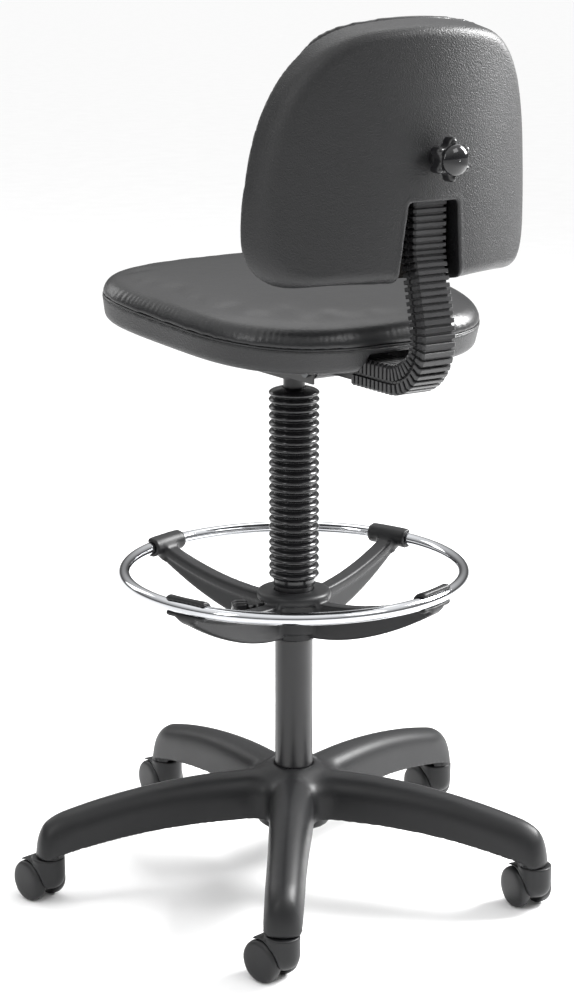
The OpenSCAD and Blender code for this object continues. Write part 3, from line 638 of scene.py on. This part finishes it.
def inflate(obj, held, cap):
    """Cloth with air pressure swells the pad along its normals.

    The held points stay put, and no point moves further than the cap.
    """
    mesh = obj.data
    start = vectors(mesh, "co")
    group = obj.vertex_groups.new(name="held")
    group.add([int(i) for i in np.nonzero(held(start))[0]], 1.0, "REPLACE")
    cloth = obj.modifiers.new("cloth", "CLOTH").settings
    cloth.vertex_group_mass = "held"
    cloth.use_pressure = True
    cloth.uniform_pressure_force = CLOTH_PRESSURE
    cloth.effector_weights.gravity = 0
    cloth.quality = 5
    cloth.tension_stiffness = cloth.compression_stiffness = 18
    cloth.bending_stiffness = 12
    obj.modifiers["cloth"].point_cache.frame_end = CLOTH_FRAMES
    for f in range(1, CLOTH_FRAMES + 1):
        scene.frame_set(f)
    depsgraph = bpy.context.evaluated_depsgraph_get()
    end = vectors(obj.evaluated_get(depsgraph).to_mesh(), "co")
    normals = vectors(mesh, "normal")
    rise = ((end - start) * normals).sum(1)
    obj.evaluated_get(depsgraph).to_mesh_clear()
    obj.modifiers.remove(obj.modifiers["cloth"])
    scene.frame_set(1)
    rise = np.where(rise > 0, cap * np.tanh(rise / cap), INWARD_SHARE * cap * np.tanh(rise / cap))
    mesh.vertices.foreach_set("co", (start + normals * rise[:, None]).ravel())
    mesh.update()


def refine(obj):
    """One level of subdivision, made real."""
    obj.modifiers.new("smooth", "SUBSURF").levels = 1
    depsgraph = bpy.context.evaluated_depsgraph_get()
    fine = bpy.data.meshes.new_from_object(obj.evaluated_get(depsgraph))
    obj.modifiers.clear()
    obj.data = fine


def pucker(obj, place, seam, low, high, depth, period):
    """Short upright creases in the cover just above the seam, deeper in some stretches than in others."""
    mesh = obj.data
    points, normals = vectors(mesh, "co"), vectors(mesh, "normal")
    local = within(place, points) / MM
    angle = np.arctan2(local[:, 1] - SEAT_CENTRE[1], local[:, 0])
    along = angle * 205
    stretch = 0.5 + 0.5 * np.sin(angle * 5 + 0.7) * np.sin(angle * 11 + 2.1)
    wave = np.sin(2 * math.pi * along / period + 1.6 * np.sin(angle * 23))
    band = step(low, low + 4, local[:, 2]) * (1 - step(high - 8, high, local[:, 2]))
    near = 1 - step(6, 20, -seam(local[:, 0], local[:, 1]))
    points += normals * (depth * MM * wave * stretch * band * near)[:, None]
    mesh.vertices.foreach_set("co", points.ravel())
    mesh.update()


PAD_CAP, PAD_FILL = 3 * MM, 0.75


def cushion(name, field, low, high, pitch, body, nodes, place, held, cap):
    """A vinyl pad from its field, swollen and refined."""
    obj = piece(name, surface(field, low, high, pitch), body, "vinyl", nodes, place)
    inflate(obj, held, cap)
    refine(obj)
    return obj


def make_seat():
    shell = surface(seat_shell_field, (-226, -210, -38), (226, 236, 4), 2.6)
    piece("seat_pan", shell, "seat_lift", "shell_plastic", ["seat_shell"], SEAT_PLACE)

    def held(points):
        return within(SEAT_PLACE, points)[:, 2] < 4 * MM

    pad = cushion(
        "seat_pad", seat_cushion_field, (-228, -216, -5), (228, 240, 48), 5.5,
        "seat_lift", ["seat_cushion"], SEAT_PLACE, held, PAD_CAP
    )
    pucker(pad, SEAT_PLACE, SEAT, 6, 24, 0.36, 8)
    edge = SEAT.ring(360, 1.4)
    bead = tube(np.column_stack([edge, np.full(360, -0.2)]), 1.2)
    piece("seat_welt", bead, "seat_lift", "vinyl", (), SEAT_PLACE)


LEVER_R, GRIP_HALF_LENGTH, GRIP_HALF_WIDTH, GRIP_HALF_HEIGHT = 4, 34, 14.5, 5.6


def lever_field(shaft_end, grip_x, grip_z, y, z0):
    """A cranked rod along X from the grip to the shaft's end, with a flat paddle on it."""

    def field(x, yy, z):
        w = np.clip((x - grip_x) / (shaft_end - grip_x), 0, 1)
        line = grip_z + (z0 - grip_z) * step(0.1, 0.95, w)
        rod = np.hypot(yy - y, z - line) - LEVER_R
        rod = smax(rod, np.maximum(x - shaft_end, grip_x - x), 2)
        length, width = (x - grip_x + 4) / GRIP_HALF_LENGTH, (yy - y) / GRIP_HALF_WIDTH
        flat = np.sqrt(length ** 2 + width ** 2 + ((z - grip_z) / GRIP_HALF_HEIGHT) ** 2)
        paddle = (flat - 1) * GRIP_HALF_HEIGHT
        return smin(rod, paddle, 8)

    return field


def make_levers():
    height = surface(lever_field(1, -176, 711, 0, 733.5), (-216, -20, 700), (4, 20, 742), 1.8)
    piece("height_handle", height, "height_control", "black_plastic", ["height_lever"])
    tilt = surface(lever_field(48, -176, 712, 66, 712), (-216, 48, 702), (50, 84, 722), 1.8)
    piece("tilt_handle", tilt, "tilt_control", "black_plastic", ["tilt_lever"])


# ---------------------------------------------------------------- J-bar sleeve


BAR_START, BEND_Y, BAR_TOP = 160, 235, 950
RIB_PITCH = 8.1


def bar_path():
    """Points (y, z) of the J-bar's centre line: back, up round the bend, leaning forward, and upright."""
    lean, run, big, bend = math.radians(13.4), 68, 100, 56
    bar_z, bend_z = 712.0, 768.0
    line = [(y, bar_z) for y in np.linspace(BAR_START, BEND_Y, 40, endpoint=False)]
    quarter = np.linspace(-math.pi / 2, 0, 60)
    line += [(BEND_Y + bend * math.cos(a), bend_z + bend * math.sin(a)) for a in quarter]
    at = np.array([BEND_Y + bend - big, bend_z])
    line += [tuple(at + big * np.array([math.cos(a), math.sin(a)])) for a in np.linspace(0.01, lean, 20)]
    end = np.array(line[-1])
    slope = np.array([-math.sin(lean), math.cos(lean)])
    line += [tuple(end + run * t * slope) for t in np.linspace(0.05, 1, 30)]
    end = np.array(line[-1])
    at = end + big * np.array([math.cos(lean), math.sin(lean)])
    turn = np.linspace(math.pi + lean, math.pi, 20)[1:]
    line += [tuple(at + big * np.array([math.cos(a), math.sin(a)])) for a in turn]
    line += [(line[-1][0], z) for z in np.linspace(line[-1][1] + 2, BAR_TOP, 40)]
    return np.array(line)


def section(half_x, half_t, notch_x, corner):
    """Outline of a rib: a flattened box whose two narrow sides are split by a groove."""
    quarter = [(notch_x, 0.0), (notch_x, 1.0), (half_x, 1.9)]
    quarter += [(half_x, half_t - corner), (half_x - corner, half_t)]
    left = [(-x, t) for x, t in reversed(quarter)]
    upper = quarter + left
    lower = [(x, -t) for x, t in reversed(upper[1:-1])]
    return np.array(upper + lower)


def make_sleeve():
    """Ribs along the bar, lofted as one open-ended skin that is thicker upwards on the lower run."""
    path = bar_path()
    gone = np.concatenate([[0], np.cumsum(np.hypot(*np.diff(path, axis=0).T))])
    length = gone[-1]

    def along(s):
        return [np.interp(s, gone, path[:, k]) for k in (0, 1)]

    count = int(length / RIB_PITCH)
    pitch = length / count
    valley, slim = section(20.8, 11.6, 19.6, 1.5), section(23.2, 14.2, 20.2, 2.5)
    full = section(24, 15, 20.4, 2.8)
    rib = ((0, valley), (0.02, slim), (0.1, full), (0.58, full), (0.66, slim), (0.68, valley))
    stations = [((i + u) * pitch, shape) for i in range(count) for u, shape in rib]
    rows = []
    for s, shape in stations:
        y, z = along(s)
        (y1, z1), (y2, z2) = along(max(s - 1, 0)), along(min(s + 1, length))
        heading = np.array([y2 - y1, z2 - z1])
        heading /= np.linalg.norm(heading)
        swell = 1 + 0.4 * step(0.2, 0.9, heading[0])
        depth = np.where(shape[:, 1] < 0, shape[:, 1] * swell, shape[:, 1])
        rows.append(np.column_stack([shape[:, 0], y + depth * heading[1], z - depth * heading[0]]))
    quads = loft_quads(len(rows), len(valley), False)
    verts = np.concatenate(rows)
    piece("bar_sleeve", (verts, quads), "back_arm", "bellows_satin", ["jbar_bellows"], smooth=False)


# ---------------------------------------------------------------- back

# The shell's rear face and its rim: where each lies on the middle line, and the radius it wraps to
BACK_REAR, BACK_WRAP, RIM_Y, RIM_WRAP = 295, 276, 251, 355
BACK_MID, KNOB_Z, SLOT_TOP, BACK_WALL = 985, 981, 931, 5.5
# Half of the backrest's outline, as degrees up from the side and millimetres from the middle
BACK_HALF = (
    (-90, 153), (-76, 156.5), (-64, 166), (-56, 178), (-50, 191), (-44, 210), (-38, 218),
    (-30, 214), (-18, 196), (-6, 183.5), (6, 178), (18, 176), (30, 176), (42, 175),
    (52, 171), (60, 165), (68, 158.5), (78, 153.5), (90, 151.5),
)


def back_points():
    """The whole outline, as (x, height above the middle)."""
    half = [(r * math.cos(math.radians(a)), r * math.sin(math.radians(a))) for a, r in BACK_HALF]
    return half + [(-x, z) for x, z in half[-2:0:-1]]


BACK = Outline(back_points())


def back_side(x, y, z):
    """Distance from the backrest's side walls, which widen towards the sitter."""
    scale = 1 - 0.2 / 170 * (y - RIM_Y)
    return BACK(x / scale, (z - BACK_MID) / scale) * scale


def ahead(x, y, wrap, middle):
    """How far a point is in front of a wrapped face."""
    return wrap - np.hypot(x, y - (middle - wrap))


def back_shell_field(x, y, z):
    """The wrapped outer shell, open towards the sitter, with folded walls round the bar's slot."""
    side = back_side(x, y, z)
    rear = -ahead(x, y, BACK_WRAP, BACK_REAR)
    rim = ahead(x, y, RIM_WRAP, RIM_Y)
    outer = smax(side, rear, 13)
    inner = outer + BACK_WALL
    fall = SLOT_TOP - z
    slot = smax(np.maximum(x - 37 - 0.14 * fall, -x - 32 - 0.061 * fall), -fall, 6)
    solid = smax(smax(outer, -inner, 1), rim - 1.0, 3)
    fold = smax(np.maximum(slot - 4.5, -slot), np.maximum(rear, -rear - 25), 1)
    fold = smax(fold, outer, 1)
    solid = smin(solid, fold, 2)
    return smax(solid, -np.maximum(slot, -rear - 60), 2.5)


def back_pad_field(x, y, z):
    """The crowned pad on the shell's rim, fuller near its top edge."""
    front = ahead(x, y, RIM_WRAP, RIM_Y)
    plan = back_side(x, y, z)
    top = step(1075, 1125, z)
    plan = plan + 4.0 - 7.5 * top + 0.5 * np.maximum(front - 4, 0) * (1 - 0.7 * top)
    depth = np.maximum(-plan, 0)
    dome = np.maximum(1 - (x / 190) ** 2 - ((z - BACK_MID) / 160) ** 2, 0)
    crown = 7 + 13 * (1 - np.exp(-depth / 15)) + 8 * dome
    solid = smax(plan, front - crown, 12)
    return smax(solid, 0.8 - front, 6)


def make_back():
    shell = surface(back_shell_field, (-210, 160, 815), (210, 302, 1150), 2.3)
    piece("back_cover", shell, "backrest", "shell_plastic", ["back_shell"])

    def held(points):
        p = points / MM
        return ahead(p[:, 0], p[:, 1], RIM_WRAP, RIM_Y) < 3.5

    cushion(
        "back_pad", back_pad_field, (-212, 140, 812), (212, 262, 1156), 4.5,
        "backrest", ["back_cushion"], None, held, PAD_CAP
    )
    place = Matrix.Translation(Vector((0, BACK_REAR, KNOB_Z)) * MM) @ Matrix.Rotation(math.radians(-90), 4, "X")
    grip = surface(star_knob(18, 4.6, 21, 12, 33), (-30, -30, 8), (30, 30, 37), 1.1)
    neck = revolve([(0.05, -14), (4, -14), (4, 1.2), (12, 1.4), (12.5, 3), (12.5, 13), (0.05, 13)], 48)
    piece("back_grip", joined(grip, neck), "back_clamp", "black_plastic", ["back_knob"], place)
    cap_r, cap_z, cap_rise = 18.1, 33.6, 8.6
    dome = [(0.05, 31), (17.6, 31), (cap_r, 32.4), (cap_r, cap_z)]
    quarter = np.linspace(0.1, math.pi / 2 - 0.01, 14)
    dome += [(cap_r * math.cos(a), cap_z + cap_rise * math.sin(a)) for a in quarter]
    piece("back_grip_cap", revolve(dome, 64), "back_clamp", "gloss_cap", ["knob_cap"], place)


# ---------------------------------------------------------------- assembly


def finish_cad_nodes():
    """CAD parts that stay get their slot's finish."""
    slots = {part["node"]: part["material_slot"] for part in frame["record"]["subparts"]}
    for name, obj in frame["nodes"].items():
        obj.data.materials.clear()
        obj.data.materials.append(MATERIALS[slots[name]])


def make_floor():
    """A wide sheet of white paper, which isn't part of the chair."""
    mesh = bpy.data.meshes.new("floor")
    half = 80
    corners = [(-half, -half, 0), (half, -half, 0), (half, half, 0), (-half, half, 0)]
    mesh.from_pydata(corners, [], [(0, 1, 2, 3)])
    white, grain = (0.9, 0.9, 0.9), (400, 0.05, 0.0002)
    paper = material("floor_paper", white, 0.8, grain, vary=0.01, Specular_IOR_Level=0.0)
    mesh.materials.append(paper)
    floor = bpy.data.objects.new("floor", mesh)
    scene.collection.objects.link(floor)


make_studio(*make_camera())
MATERIALS = make_materials()
make_floor()
finish_cad_nodes()
make_base()
make_column()
make_ring()
make_seat()
make_levers()
make_sleeve()
make_back()
